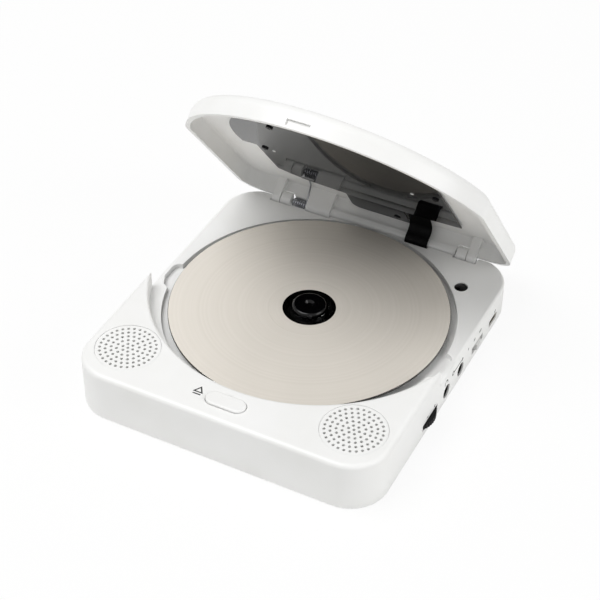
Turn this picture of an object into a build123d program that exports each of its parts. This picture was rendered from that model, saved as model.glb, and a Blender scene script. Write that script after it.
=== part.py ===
from build123d import *
from math import acos, cos, pi, radians, sin, sqrt
import os

os.makedirs("parts", exist_ok=True)

# Row frame: X to the right, Y towards the hinge, Z up from the wall side; millimetres.
# The lid is stored open; its parts are drawn closed and then turned about the hinge axis.

# ---- disc and the room round it ----
disc_r = 60.0
disc_hole_r = 7.5
disc_t = 1.2
disc_gap = 2.8
disc_lift = 0.3
side_margin = 8.0
rear_margin = 6.3
front_deck = 18.6
well_front_gap = 1.5

# ---- base shell ----
body_corner_r = 16.6
wall = 2.0
seam_z = 2.6
deck_z = 16.1
front_rise = 8.0
deck_t = 2.0
deck_edge_r = 1.2
front_edge_r = 2.0
bottom_t = 2.0
bottom_edge_r = 1.6
lip_h = 1.8
lip_t = 1.3
lip_clear = 0.15

# ---- front deck arc ----
arc_r = 71.3
arc_wall = 1.8
arc_edge_r = 1.2
horn_setback = 17.5

# ---- well ----
well_under_disc = 2.8
well_floor_t = 1.2
well_wall = 1.5
notch_skin = 1.9
notch_back = 1.7
notch_tail = 13.3
notch_tail_in = 2.3
notch_tail_fall = 4.4
notch_root = 8.0
notch_knee = 8.3
notch_r = 3.5
hub_opening_clear = 2.0
lens_slot_clear = 1.3
lens_slot_end = 0.4
sensor_angle = 40.37
sensor_gap = 3.16
sensor_hole_r = 3.0

# ---- lid ----
lid_angle = 51.8
hinge_inset = 1.6
hinge_drop = 0.1
lid_side_inset = 0.8
lid_rim_gap = 0.5
lid_h = 10.0
lid_back_inset = 0.1
lid_back_r = 11.0
lid_front_r = 11.5
lid_gap = 1.0
lid_wall = 2.0
lid_edge_r = 4.4
lid_inner_edge_r = 1.0
catch_w = 10.0
catch_under = 0.2
catch_over = 0.9
catch_depth = 1.3

# ---- hinge ----
pin_r = 1.0
pin_clear = 0.05
tower_r = 3.4
tower_inset = 26.8
tower_w = 4.8
ear_gap = 0.3
ear_w = 4.0
ear_r = 3.6
knuckle_gap = 0.35
tower_clear = 0.4
barrel_r = 2.0
barrel_side_gap = 0.8
spring_room = 8.2
spring_block_w = 12.0
trough_side = 0.7
trough_gap = 0.4
trough_drop = 0.5
trough_t = 1.2
back_chamfer = 1.5
pin_seat = 2.0
lid_spring_wire_r = 0.4
lid_spring_r = 1.75
lid_spring_turns = 6.25
lid_spring_pitch = 1.05
lid_spring_clear = 0.4
lid_spring_lean = 3.0
lid_spring_leg = 18.0
spring_seat = 0.05

# ---- lid panel ----
panel_drop = 1.3
panel_t = 0.6
panel_side_inset = 23.7
panel_left_inset = 23.8
panel_left_drop = 25.5
panel_left_steps = ((-38.4, 22.4), (-32.8, 19.4), (-24.7, 17.9))
panel_back_inset = 14.9
panel_right_steps = ((28.2, 14.9), (34.6, 15.9))
panel_right_drop = 17.0
panel_dome_r = 51.0
panel_dome_shift = 0.2
panel_lobe = 7.5
panel_lobe_rise = 20.0
panel_pegs = ((-35.5, 9.0), (28.6, 10.9))
panel_peg_r = 0.7
panel_screws = ((-39.7, 8.5), (39.7, 8.5), (-25.3, -28.8), (25.3, -28.8))
panel_screw_r = 0.7
panel_screw_head_r = 1.5
panel_screw_head_t = 0.6
screw_slot_w = 0.4
screw_slot_l = 1.8
screw_slot_t = 0.35
tab_x0 = -12.3
tab_x1 = 15.5
tab_root = 16.4
tab_end = 0.8
tab_drop = 1.1
tab_corner_r = 4.0
tab_screw_x = 10.2
tab_screw = 4.4
tab_spot = 0.1
lid_board_half_w = 40.0
lid_board_front = 26.3
lid_board_back = 23.0
lid_board_tail = 16.0
ribbon_x0 = 16.6
ribbon_w = 10.8
ribbon_t = 0.3
ribbon_gap = 0.7
ribbon_side = 0.6
ribbon_rise = 0.6
ribbon_bend = ((-0.7, 3.3), (1.9, 6.6))
ribbon_tail = 7.0
ribbon_tail_drop = 1.6
ribbon_socket_h = 2.0

# ---- open button and latch ----
button_front = 10.3
button_l = 17.4
button_w = 7.4
button_h = 1.0
button_edge_r = 0.8
button_clear = 0.25
button_flange = 1.4
button_flange_t = 0.9
button_flange_gap = 0.2
button_travel = 1.5
button_pip_r = 1.2
button_pip_l = 2.4
latch_margin = 1.9
latch_t = 3.2
latch_front = 4.7
latch_arc_gap = 0.5
hook_half_w = 4.2
hook_lift = 1.2
hook_t = 1.5
hook_step = 1.6
hook_reach = 1.05
hook_bevel = 1.2
slide_clear = 0.15
guide_t = 1.2
stake_gap = 3.0
stake_r = 0.8
stake_l = 1.8
guide_ahead = 2.4
guide_behind = 0.2
guide_ear = 1.7
guide_ear_l = 5.0
cam_inset = 4.0
cam_w = 2.4
cam_l = 2.8
cam_bevel = 1.4
cam_dip = 1.3
cam_clear = 0.3
spring_well = 2.3
button_spring_r = 1.7
button_spring_wire_r = 0.2
latch_spring_r = 0.9
latch_spring_wire_r = 0.15
latch_spring_inset = 1.7

# ---- speakers ----
speaker_side_clear = 2.2
speaker_front = 20.1
speaker_arc_clear = 0.32
speaker_h = 7.6
speaker_rim_t = 1.2
speaker_step = 2.5
speaker_ring = 1.6
speaker_cup_h = 4.2
cone_inset = 1.9
cone_depth = 2.2
cone_t = 0.35
dust_cap_r = 3.0
grille_rings = 5
grille_edge = 1.4
grille_hole_r = 0.62
grille_rim = 0.7
grille_ledge = 1.0
grille_t = 1.3
grille_sink = 0.15
grille_fit = 0.1
magnet_inset = 5.3

# ---- board and side controls ----
board_z0 = 3.0
board_t = 1.2
board_wall_gap = 0.3
board_front_w = 11.4
board_side_w = 25.5
board_back_w = 14.6
board_back_margin = 2.6
chip_t = 1.2
front_chip_y = 7.3
front_chips = ((7.0, 7.0, 5.0), (31.0, 9.0, 6.0))
side_chips = (
    (20.5, -44.0, 7.0, 7.0),
    (21.0, -34.0, 5.0, 5.0),
    (21.2, 28.0, 6.0, 6.0),
    (21.2, 44.0, 5.0, 9.0),
)
jack_backs = (75.9, 61.1)
jack_bore_r = 1.8
jack_face_r = 3.1
jack_face_inset = 0.6
jack_len = 14.0
jack_mouth_r = 2.1
jack_mouth_end = 0.1
jack_tail = 1.6
jack_w = 6.6
jack_h = 4.8
control_lift = 1.8
wheel_back = 92.6
wheel_r = 11.0
wheel_t = 2.6
wheel_proud = 1.9
wheel_gap = 0.3
wheel_skin = 0.7
wheel_grips = 48
wheel_grip_r = 0.28
wheel_cap_h = 0.6
pot_w = 9.0
pot_shaft_r = 1.5
switch_back = 42.6
switch_window = 12.0
switch_window_h = 3.6
switch_body_w = 15.0
switch_body_t = 4.5
switch_body_h = 3.8
switch_travel = 3.0
switch_knob_l = 4.6
switch_knob_h = 3.0
switch_knob_proud = 1.0
switch_stem = 3.0
switch_stem_h = 2.0
switch_rib_pitch = 1.3
switch_rib_w = 0.5
switch_rib_t = 0.35
usb_back = 25.0
usb_w = 8.94
usb_h = 3.26
usb_shell = 0.3
usb_len = 7.4
usb_inset = 0.5
usb_tongue_w = 6.0
usb_tongue_t = 0.7
usb_foot = 1.6
key_ys = (-22.0, -8.0, 6.0, 20.0)
key_l = 8.0
key_h = 4.6
key_proud = 0.8
key_travel = 0.6
key_clear = 0.2
key_flange = 0.8
key_flange_t = 1.0
key_edge_r = 0.5
key_switch = 3.2
key_switch_h = 1.6
key_board_t = 1.2
key_board_over = 7.0
key_board_up = 3.0
sensor_w = 4.0
sensor_eye_r = 0.7

# ---- disc drive ----
chassis_room = 1.8
chassis_t = 1.0
chassis_half_w = 33.0
chassis_tail = 21.7
chassis_edge = 2.5
chassis_corner_r = 4.0
damper_inset = 5.0
damper_end = 4.5
damper_r = 4.0
damper_neck_r = 2.8
damper_post_r = 1.6
damper_pedestal = 1.4
damper_drop = 0.8
damper_h = 2.2
motor_r = 11.5
motor_h = 5.2
shaft_r = 0.9
table_r = 13.0
table_t = 2.0
table_stub_r = 4.6
table_bore_end = 1.5
hub_clear = 0.1
hub_h = 3.5
hub_edge_r = 1.4
hub_dimple_r = 2.2
ball_r = 1.2
ball_inset = 0.9
ball_lift = 1.9
sled_right = 15.0
sled_left = -20.5
sled_half_l = 7.0
sled_drop = 0.6
sled_t = 5.0
lens_r = 3.0
lens_inner_r = 24.0
lens_outer_gap = 3.0
lens_gap = 2.0
lens_dome = 0.5
lens_house_w = 9.0
lens_house_l = 8.0
rod_r = 1.0
rod_x = 12.0
rod_drop = 3.1
screw_r = 1.2
screw_x = -17.5
slide_fit = 0.06
feed_motor_r = 2.9
feed_motor_l = 6.0
rod_near_gap = 0.7
rod_far_gap = 0.8
rod_post_t = 2.0
rod_post_half = 2.2

# ---- fixings ----
boss_r = 3.0
case_screw_r = 1.1
case_screw_head_r = 2.5
case_screw_head_t = 1.0
case_screw_len = 8.0
screw_cross_l = 3.0
screw_cross_w = 0.6
screw_cross_t = 0.5
screw_hole_clear = 0.3
front_boss_in = 19.5
front_boss_y = 7.4
back_boss_side = 10.0
back_boss_y = 11.0
keyhole_side = 38.0
keyhole_back = 23.6
keyhole_l = 9.0
keyhole_entry_r = 4.2
keyhole_slot_r = 2.2
keyhole_pocket_h = 4.2
keyhole_pocket_t = 1.2
screw_sink = 0.2
lip_gap_front = 14.5
lip_gap_back = 7.4
standoff_half = 2.0
front_standoff_in = 11.0
front_standoff_y = 7.1
side_standoff = 23.0
side_standoff_ys = (-40.0, 24.0, 50.0)
back_standoff = (20.0, 10.6)


# ---- the case is drawn round the disc ----
well_r = disc_r + disc_gap
side_x = disc_r + side_margin
side_in = side_x - wall
body_w = 2 * side_x
body_d = front_deck + well_front_gap + disc_gap + 2 * disc_r + rear_margin
front_y = -body_d / 2
back_y = body_d / 2
arc_front_y = front_y + front_deck
arc_cy = arc_front_y + arc_r
disc_cy = arc_front_y + well_front_gap + well_r
horn_y = disc_cy - horn_setback

# ---- levels ----
front_z = deck_z + front_rise
deck_under = deck_z - deck_t
front_under = front_z - deck_t
disc_z = deck_z + disc_lift
well_floor_z = disc_z - well_under_disc
floor_under = well_floor_z - well_floor_t
lid_rim_z = deck_z + lid_rim_gap
lid_top_z = lid_rim_z + lid_h
lid_ceiling = lid_top_z - lid_wall
hinge_z = deck_z - hinge_drop
panel_z0 = lid_ceiling - panel_drop
hook_z0 = lid_rim_z + hook_lift
hook_z1 = hook_z0 + hook_t
latch_z0 = hook_z0 - hook_step
latch_z1 = latch_z0 + latch_t
board_top = board_z0 + board_t
jack_z = board_top + jack_h / 2
control_z = board_top + control_lift
chassis_z = floor_under - chassis_room
chassis_top = chassis_z + chassis_t
rod_z = chassis_z - rod_drop
sled_z1 = chassis_z - sled_drop
sled_z0 = sled_z1 - sled_t
lens_top_z = disc_z - lens_gap
hub_top_z = disc_z + hub_h
ball_z = disc_z + ball_lift
damper_seat_z = chassis_z - damper_drop
grille_z = front_z - grille_sink - grille_t

# ---- places in plan ----
notch_back_y = disc_cy + notch_back
notch_knee_y = disc_cy - notch_knee
notch_tail_y = disc_cy - notch_tail
notch_out_x = side_x - notch_skin
notch_tail_x = notch_out_x - notch_tail_in
notch_root_x = notch_tail_x - notch_root
sensor_x = (well_r + well_wall + sensor_gap) * cos(radians(sensor_angle))
sensor_y = disc_cy + (well_r + well_wall + sensor_gap) * sin(radians(sensor_angle))
lid_half_w = side_x - lid_side_inset
lid_back_y = back_y - lid_back_inset
lid_front_y = arc_front_y + lid_gap
hinge_y = back_y - hinge_inset
tower_x0 = side_x - tower_inset
tower_x1 = tower_x0 + tower_w
ear_x0 = tower_x1 + ear_gap
ear_x1 = ear_x0 + ear_w
barrel_x1 = tower_x0 - barrel_side_gap
block_x0 = spring_room - tower_x0
barrel_x0 = block_x0 + spring_block_w
trough_x = ear_x1 + trough_side
trough_y = hinge_y - ear_r - trough_gap
trough_z = hinge_z - tower_r - trough_drop
trough_base = trough_z - trough_t
barrel_trough_y = hinge_y - barrel_r - trough_gap
barrel_trough_z = hinge_z - barrel_r - trough_drop
pin_spans = ((-ear_x1, block_x0 + pin_seat), (barrel_x1 - pin_seat, ear_x1))
ribbon_y = barrel_trough_y - ribbon_gap
tab_y = hinge_y - tab_end
tab_y0 = hinge_y - panel_back_inset
tab_grade = tab_drop / (tab_y - tab_y0)
tab_seat_z = panel_z0 + tab_spot - tab_grade * (panel_back_inset - tab_screw - panel_screw_head_r)
panel_peg_spots = [(x, disc_cy + y) for x, y in panel_pegs]
panel_screw_spots = [(x, disc_cy + y) for x, y in panel_screws] + [(tab_screw_x, hinge_y - tab_screw)]
button_y = front_y + button_front
button_base_z = front_under - button_flange_t - button_flange_gap
latch_half_w = button_l / 2 + latch_margin
latch_y0 = button_y - latch_front
latch_y1 = arc_front_y - arc_wall - latch_arc_gap
stake_x = latch_half_w + stake_gap
cam_x = latch_half_w - cam_inset
cam_y0 = button_y - cam_l / 2
cam_y1 = button_y + cam_l / 2
cam_tip_z = latch_z1 - cam_dip
latch_spring_x = latch_half_w - latch_spring_inset
speaker_y = front_y + speaker_front
# the speaker is the circle at speaker_y that keeps its clearances from the side wall and from the arc wall
side_reach = side_in - speaker_side_clear
arc_reach = arc_r + arc_wall + speaker_arc_clear
speaker_r = (side_reach ** 2 + (arc_cy - speaker_y) ** 2 - arc_reach ** 2) / (2 * (side_reach + arc_reach))
speaker_x = side_reach - speaker_r
grille_ring_pitch = (speaker_r - grille_edge) / grille_rings
board_edge = wall + lip_clear + lip_t + board_wall_gap
jack_ys = [back_y - reach for reach in jack_backs]
wheel_x = side_x + wheel_proud - wheel_r
wheel_y = back_y - wheel_back
switch_y = back_y - switch_back
usb_y = back_y - usb_back
sled_y = disc_cy - lens_inner_r
lens_travel = disc_r - lens_outer_gap - lens_inner_r
lens_slot_end_y = sled_y - lens_travel - lens_house_l / 2 - lens_slot_end
rod_y0 = sled_y - lens_travel - sled_half_l - rod_far_gap - rod_post_t
rod_y1 = sled_y + sled_half_l + rod_near_gap + rod_post_t
rod_posts = ((rod_y0, rod_y0 + rod_post_t), (rod_y1 - rod_post_t, rod_y1))
chassis_y0 = rod_y0 - chassis_edge
chassis_y1 = disc_cy + chassis_tail
damper_x = chassis_half_w - damper_inset
damper_ys = (chassis_y0 + damper_end, chassis_y1 - damper_end)
hub_r = disc_hole_r - hub_clear
ball_ring_r = hub_r - ball_inset
ball_spots = [(ball_ring_r * cos(radians(60 + 120 * k)), disc_cy + ball_ring_r * sin(radians(60 + 120 * k)))
              for k in range(3)]
front_boss_x = speaker_x - front_boss_in
front_bosses = [(side * front_boss_x, front_y + front_boss_y) for side in (-1, 1)]
back_bosses = [(side * (side_x - back_boss_side), back_y - back_boss_y) for side in (-1, 1)]
keyhole_x = side_x - keyhole_side
keyhole_y1 = back_y - keyhole_back
keyhole_y0 = keyhole_y1 - keyhole_l
lip_gap_y0 = wheel_y - lip_gap_front
lip_gap_y1 = usb_y + lip_gap_back
standoffs = [(side * (front_boss_x - front_standoff_in), front_y + front_standoff_y) for side in (-1, 1)]
standoffs += [(side_x - side_standoff, y) for y in side_standoff_ys]
standoffs.append((back_standoff[0], back_y - back_standoff[1]))


def block(x0, x1, y0, y1, z0, z1):
    return Pos((x0 + x1) / 2, (y0 + y1) / 2, (z0 + z1) / 2) * Box(x1 - x0, y1 - y0, z1 - z0)


def disc_z_axis(r, x, y, z0, z1):
    return Pos(x, y, (z0 + z1) / 2) * Cylinder(r, z1 - z0)


def rod_along_x(r, x0, x1, y, z):
    return Pos((x0 + x1) / 2, y, z) * Rot(0, 90, 0) * Cylinder(r, x1 - x0)


def rod_along_y(r, y0, y1, x, z):
    return Pos(x, (y0 + y1) / 2, z) * Rot(90, 0, 0) * Cylinder(r, y1 - y0)


def slab(width, depth, corner, z0, z1):
    return Pos(0, 0, z0) * extrude(RectangleRounded(width, depth, corner), z1 - z0)


def edges_at(shape, z):
    boxes = [(e, e.bounding_box()) for e in shape.edges()]
    return [e for e, box in boxes if abs(box.min.Z - z) < 1e-3 and abs(box.max.Z - z) < 1e-3]


def both_sides(shape):
    return shape + mirror(shape, about=Plane.YZ)


def spring_coil(radius, wire_r, pitch, turns, lefthand=False):
    path = Helix(pitch, pitch * turns, radius, lefthand=lefthand)
    return sweep(Plane(path @ 0, z_dir=path % 0) * Circle(wire_r), path)


def wire_along(points, wire_r):
    path = Polyline(*points)
    return sweep(Plane(path @ 0, z_dir=path % 0) * Circle(wire_r), path, transition=Transition.ROUND)


def diamond_along_x(half_w, y, z, reach):
    return Pos(0, y, z) * Rot(45, 0, 0) * Box(2 * half_w, reach * sqrt(2), reach * sqrt(2))


def opened(shape):
    return shape.rotate(Axis((0, hinge_y, hinge_z), (-1, 0, 0)), lid_angle)


def opened_point(y, z):
    a = radians(lid_angle)
    dy, dz = y - hinge_y, z - hinge_z
    return hinge_y + dy * cos(a) + dz * sin(a), hinge_z + dz * cos(a) - dy * sin(a)


# ---- plans shared by several pieces ----
def arc_plan(radius, half):
    # a circle about the arc's centre, with straight tangents out to the sides where it is narrower than they are
    plan = Pos(0, arc_cy) * Circle(radius)
    if half > radius:
        a = acos(radius / half)
        x, y = radius * cos(a), arc_cy - radius * sin(a)
        plan += make_face(Polyline((-half, arc_cy), (-x, y), (x, y), (half, arc_cy), close=True))
    return plan


def front_zone(grow, y_limit, z0, z1):
    lid_room = Pos(0, 0, z0) * extrude(arc_plan(arc_r + grow, lid_half_w + lid_gap + grow), z1 - z0)
    return block(-body_w, body_w, -body_d, y_limit, z0, z1) - lid_room


def notch_plan(grow):
    points = [
        (notch_root_x, notch_back_y + grow),
        (notch_out_x + grow, notch_back_y + grow),
        (notch_out_x + grow, notch_knee_y),
        (notch_tail_x + grow, notch_tail_y - grow),
        (notch_root_x, notch_tail_y - notch_tail_fall - grow),
    ]
    face = make_face(Polyline(*points, close=True))
    rounded = [v for v in face.vertices() if v.X > notch_tail_x + grow + 0.5]
    return fillet(rounded, notch_r + grow)


def lid_plan(inset):
    half = lid_half_w - inset
    back = lid_back_y - inset
    radius = arc_r - lid_gap - inset
    depth = back - arc_cy + radius
    whole = Pos(0, back - depth / 2) * Rectangle(2 * half, depth)
    rear = Pos(0, (back + arc_cy) / 2) * Rectangle(2 * half, back - arc_cy)
    face = (arc_plan(radius, half) + rear) & whole
    rear_corners = [v for v in face.vertices() if v.Y > back - 0.1]
    face = fillet(rear_corners, lid_back_r - inset)
    front_corners = [v for v in face.vertices() if v.Y < arc_cy + 0.1 and abs(abs(v.X) - half) < 0.1]
    return fillet(front_corners, lid_front_r - inset)


def grille_plan(side):
    spots = []
    for ring_no in range(grille_rings + 1):
        count = max(1, 6 * ring_no)
        for k in range(count):
            a = 2 * pi * k / count
            x = side * speaker_x + ring_no * grille_ring_pitch * cos(a)
            y = speaker_y + ring_no * grille_ring_pitch * sin(a)
            spots.append(Pos(x, y) * Circle(grille_hole_r))
    return Sketch() + spots


# ---- base ----
def make_top_case():
    low = slab(body_w, body_d, body_corner_r, seam_z, deck_z)
    low = fillet(edges_at(low, deck_z), deck_edge_r)
    high = slab(body_w, body_d, body_corner_r, seam_z, front_z)
    high = fillet(edges_at(high, front_z), front_edge_r)
    high = high & front_zone(0, horn_y, seam_z, front_z)
    shell = low + high
    inner_w = body_w - 2 * wall
    inner_d = body_d - 2 * wall
    inner_r = body_corner_r - wall
    cavity = slab(inner_w, inner_d, inner_r, seam_z, deck_under)
    tall = slab(inner_w, inner_d, inner_r, seam_z, front_under)
    cavity += tall & front_zone(arc_wall, horn_y - arc_wall, seam_z, front_z)
    shell -= cavity
    # well tub with its finger notches
    tub = disc_z_axis(well_r + well_wall, 0, disc_cy, floor_under, deck_z)
    tub += both_sides(Pos(0, 0, floor_under) * extrude(notch_plan(well_wall), deck_z - floor_under))
    shell += tub & slab(body_w, body_d, body_corner_r, seam_z, deck_z)
    void = disc_z_axis(well_r, 0, disc_cy, well_floor_z, front_z)
    void += both_sides(Pos(0, 0, well_floor_z) * extrude(notch_plan(0), deck_z - well_floor_z))
    # floor openings for the turntable and the lens
    void += disc_z_axis(table_r + hub_opening_clear, 0, disc_cy, floor_under, well_floor_z)
    half = lens_house_w / 2 + lens_slot_clear
    void += block(-half, half, lens_slot_end_y, disc_cy, floor_under, well_floor_z)
    shell -= void
    shell -= arc_rounding()
    shell = add_hinge_seats(shell)
    shell = add_front_openings(shell)
    shell = add_side_openings(shell)
    # screw bosses and the stakes that hold the latch guide
    for x, y in front_bosses:
        shell += disc_z_axis(boss_r, x, y, bottom_t, front_under)
    for x, y in back_bosses:
        shell += disc_z_axis(boss_r, x, y, bottom_t, deck_under)
    for x, y in front_bosses + back_bosses:
        shell -= disc_z_axis(case_screw_r, x, y, bottom_t, bottom_t + case_screw_len)
    for side in (-1, 1):
        shell += disc_z_axis(stake_r, side * stake_x, button_y, front_under - stake_l, front_under)
    return shell


def arc_rounding():
    # everything outside a quarter round along the arc's top edge
    corner = Pos(arc_r + arc_edge_r / 2, front_z - arc_edge_r / 2) * Rectangle(arc_edge_r, arc_edge_r)
    corner -= Pos(arc_r + arc_edge_r, front_z - arc_edge_r) * Circle(arc_edge_r)
    ring = Pos(0, arc_cy, 0) * revolve(Plane.XZ * corner, Axis.Z, 360)
    return ring & block(-body_w, body_w, -body_d, horn_y, deck_z, front_z + 1)


def add_hinge_seats(shell):
    back = body_d / 2
    shell += block(-trough_x - trough_t, trough_x + trough_t, trough_y - trough_t, back - wall,
                   trough_base, deck_under)
    cuts = [
        block(-trough_x, barrel_x0 + knuckle_gap, trough_y, body_d, trough_z, front_z),
        block(barrel_x1 - knuckle_gap, trough_x, trough_y, body_d, trough_z, front_z),
        block(barrel_x0 - 1, barrel_x1 + 1, barrel_trough_y, body_d, barrel_trough_z, front_z),
        diamond_along_x(body_w, back, deck_z, back_chamfer),
        block(ribbon_x0 - ribbon_side, ribbon_x0 + ribbon_w + ribbon_side, ribbon_y - ribbon_gap,
              barrel_trough_y + 0.1, trough_base - 1, deck_z + 1),
    ]
    shell -= cuts
    tower = rod_along_x(tower_r, tower_x0, tower_x1, hinge_y, hinge_z)
    tower += block(tower_x0, tower_x1, hinge_y - tower_r, back, trough_base, hinge_z)
    tower = tower & block(0, body_w, 0, back, trough_base, front_z)
    tower -= rod_along_x(pin_r + pin_clear, tower_x0, tower_x1, hinge_y, hinge_z)
    return shell + both_sides(tower)


def add_front_openings(shell):
    cuts = [disc_z_axis(sensor_hole_r, sensor_x, sensor_y, deck_under, deck_z)]
    for x in (-speaker_x, speaker_x):
        cuts.append(disc_z_axis(speaker_r + grille_rim, x, speaker_y, grille_z, front_z))
        cuts.append(disc_z_axis(speaker_r - grille_ledge, x, speaker_y, front_under, grille_z))
    window = SlotOverall(button_l + 2 * button_clear, button_w + 2 * button_clear)
    cuts.append(Pos(0, button_y, front_under) * extrude(window, deck_t))
    cuts.append(block(-hook_half_w - cam_clear, hook_half_w + cam_clear, arc_front_y - arc_wall - 1, lid_front_y,
                      hook_z0 - cam_clear, hook_z1 + cam_clear))
    for cut in cuts:
        shell -= cut
    return shell


def add_side_openings(shell):
    x0, x1 = side_in - 1, side_x + 1
    cuts = [rod_along_x(jack_face_r + 0.1, x0, x1, y, jack_z) for y in jack_ys]
    half_h = wheel_t / 2 + wheel_gap
    inner_half = sqrt(wheel_r ** 2 - (side_in - wheel_x) ** 2) + wheel_gap
    outer_half = sqrt(wheel_r ** 2 - (side_x - wheel_skin - wheel_x) ** 2) + wheel_gap
    for half, end in ((inner_half, side_x - wheel_skin), (outer_half, x1)):
        cuts.append(block(x0, end, wheel_y - half, wheel_y + half, control_z - half_h, control_z + half_h))
    cuts.append(block(x0, x1, switch_y - switch_window / 2, switch_y + switch_window / 2,
                      control_z - switch_window_h / 2, control_z + switch_window_h / 2))
    cuts.append(plug_shape(usb_w + 0.3, usb_h + 0.3, x0, x1))
    for y in key_ys:
        half_l, half_h = key_l / 2 + key_clear, key_h / 2 + key_clear
        cuts.append(block(-x1, -x0, y - half_l, y + half_l, jack_z - half_h, jack_z + half_h))
    return shell - cuts


def plug_shape(width, height, x0, x1):
    return Pos(x0, usb_y, control_z) * Rot(0, 90, 0) * Rot(0, 0, 90) * extrude(SlotOverall(width, height), x1 - x0)


def keyhole_plan():
    slot = Pos(0, (keyhole_y0 + keyhole_y1) / 2) * Rectangle(2 * keyhole_slot_r, keyhole_y1 - keyhole_y0)
    return Pos(0, keyhole_y0) * Circle(keyhole_entry_r) + slot + Pos(0, keyhole_y1) * Circle(keyhole_slot_r)


def make_bottom_case():
    plate = slab(body_w, body_d, body_corner_r, 0, seam_z)
    plate = fillet(edges_at(plate, 0), bottom_edge_r)
    inset = wall + lip_clear
    inner = inset + lip_t
    plate -= slab(body_w - 2 * inset, body_d - 2 * inset, body_corner_r - inset, bottom_t, seam_z)
    lip = slab(body_w - 2 * inset, body_d - 2 * inset, body_corner_r - inset, bottom_t, seam_z + lip_h)
    lip -= slab(body_w - 2 * inner, body_d - 2 * inner, body_corner_r - inner, bottom_t, seam_z + lip_h)
    lip -= block(-body_w, body_w, lip_gap_y0, lip_gap_y1, bottom_t, deck_z)
    plate += lip
    half_w = keyhole_entry_r + keyhole_pocket_t
    y0 = keyhole_y0 - half_w
    y1 = keyhole_y1 + half_w
    pocket_top = bottom_t + keyhole_pocket_h
    for side in (-1, 1):
        x = side * keyhole_x
        plate += block(x - half_w, x + half_w, y0, y1, bottom_t / 2, pocket_top + keyhole_pocket_t)
        plate -= block(x - keyhole_entry_r, x + keyhole_entry_r, y0 + keyhole_pocket_t, y1 - keyhole_pocket_t,
                       bottom_t, pocket_top)
        plate -= Pos(x, 0, 0) * extrude(keyhole_plan(), bottom_t)
        for y in damper_ys:
            post = disc_z_axis(damper_post_r + damper_pedestal, side * damper_x, y, bottom_t / 2, damper_seat_z)
            plate += post + disc_z_axis(damper_post_r, side * damper_x, y, bottom_t / 2, damper_seat_z + damper_h)
    for x, y in front_bosses + back_bosses:
        plate -= disc_z_axis(case_screw_r + screw_hole_clear, x, y, 0, seam_z)
        plate -= disc_z_axis(case_screw_head_r + screw_hole_clear, x, y, 0, case_screw_head_t + screw_sink)
    for x, y in standoffs:
        plate += block(x - standoff_half, x + standoff_half, y - standoff_half, y + standoff_half,
                       bottom_t / 2, board_z0)
    return plate


def make_case_screws():
    group = []
    for x, y in front_bosses + back_bosses:
        z0 = screw_sink
        screw = disc_z_axis(case_screw_head_r, x, y, z0, z0 + case_screw_head_t)
        screw += disc_z_axis(case_screw_r, x, y, z0 + case_screw_head_t, bottom_t + case_screw_len)
        for half_x, half_y in ((screw_cross_l / 2, screw_cross_w / 2), (screw_cross_w / 2, screw_cross_l / 2)):
            screw -= block(x - half_x, x + half_x, y - half_y, y + half_y, z0, z0 + screw_cross_t)
        group.append(screw)
    return Compound(children=group)


# ---- lid ----
def make_lid_shell():
    shell = Pos(0, 0, lid_rim_z) * extrude(lid_plan(0), lid_top_z - lid_rim_z)
    shell = fillet(edges_at(shell, lid_top_z), lid_edge_r)
    hollow = Pos(0, 0, lid_rim_z) * extrude(lid_plan(lid_wall), lid_ceiling - lid_rim_z)
    hollow = fillet(edges_at(hollow, lid_ceiling), lid_inner_edge_r)
    shell -= hollow
    # room for the towers and the spring
    shell -= rod_along_x(tower_r + tower_clear, -ear_x0, tower_clear - tower_x0, hinge_y, hinge_z)
    shell -= rod_along_x(lid_spring_r + lid_spring_wire_r + lid_spring_clear, -tower_x0, block_x0, hinge_y, hinge_z)
    shell -= rod_along_x(tower_r + tower_clear, barrel_x1, ear_x0, hinge_y, hinge_z)
    # ears, spring block and barrel along the hinge
    root_z = lid_ceiling + 0.5
    inside = block(-body_w, body_w, 0, lid_back_y, 0, root_z)
    for x0, x1, r in ((-ear_x1, -ear_x0, ear_r), (ear_x0, ear_x1, ear_r), (block_x0, barrel_x0, tower_r)):
        knuckle = rod_along_x(r, x0, x1, hinge_y, hinge_z)
        knuckle += block(x0, x1, hinge_y - r, lid_back_y, hinge_z, root_z)
        shell += knuckle & inside
    barrel = rod_along_x(barrel_r, barrel_x0, barrel_x1, hinge_y, hinge_z)
    barrel += block(barrel_x0, barrel_x1, hinge_y - barrel_r, lid_back_y, hinge_z, lid_rim_z + 1.2)
    shell += barrel & inside
    for x0, x1 in pin_spans:
        shell -= rod_along_x(pin_r, x0, x1, hinge_y, hinge_z)
    # recess that the latch hook enters
    shell -= block(-catch_w / 2, catch_w / 2, lid_front_y - 1, lid_front_y + catch_depth,
                   hook_z0 - catch_under, hook_z1 + catch_over)
    for x, y in panel_peg_spots:
        shell += disc_z_axis(panel_peg_r, x, y, panel_z0 - 0.3, root_z)
    return shell


def panel_plan():
    left = panel_left_inset - lid_half_w
    right = lid_half_w - panel_side_inset
    outline = [(left, hinge_y - panel_left_drop)]
    outline += [(x, hinge_y - back) for x, back in panel_left_steps]
    outline += [(tab_x0, hinge_y - tab_root), (tab_x0, tab_y0)]
    outline += [(x, hinge_y - back) for x, back in panel_right_steps]
    outline += [(right, hinge_y - panel_right_drop), (right, 0), (0, -panel_lobe_rise), (left, 0)]
    face = make_face(Polyline(*outline, close=True))
    dome = Pos(0, disc_cy + panel_dome_shift) * Circle(panel_dome_r)
    reach = panel_dome_r + disc_cy
    window = Pos((right - reach) / 2, disc_cy + panel_lobe - reach / 2) * Rectangle(right + reach, reach)
    return face + (dome & window)


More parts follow.
